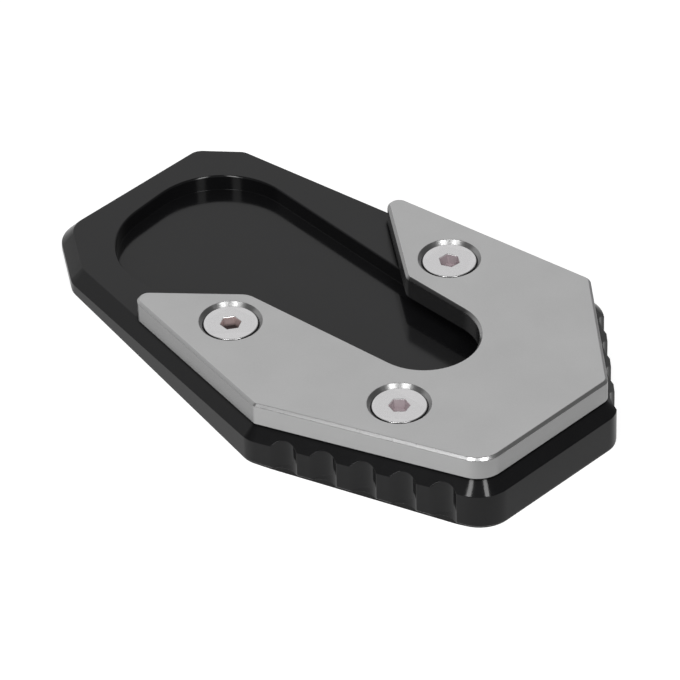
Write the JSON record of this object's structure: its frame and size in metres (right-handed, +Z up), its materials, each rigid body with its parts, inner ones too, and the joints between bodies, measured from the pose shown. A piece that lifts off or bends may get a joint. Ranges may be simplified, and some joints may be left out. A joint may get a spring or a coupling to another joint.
{
  "type": "kickstand foot enlarger",
  "caption": "Wedge-shaped plate with a foot-shaped pocket and a C-shaped clamping plate screwed on top, which widens the foot of a motorcycle's side stand.",
  "frame": {"origin": "on the ground, under the middle of the part's box", "axes": "+X from the thin toe end to the thick heel end, +Y from the front to the rear, +Z up from the ground"},
  "size_m": [0.1358, 0.0864, 0.0168],
  "materials": {
    "black_anodised": "machined, black anodised, semi-gloss",
    "silver_anodised": "machined, bead blasted and clear anodised, satin",
    "screw_steel": "stainless steel, turned, bright"
  },
  "bodies": {
    "root": {"base_plate": "black_anodised", "clamp_plate": "silver_anodised", "front_toe_screw": "screw_steel", "rear_screw": "screw_steel", "front_heel_screw": "screw_steel"}
  },
  "joints": []
}
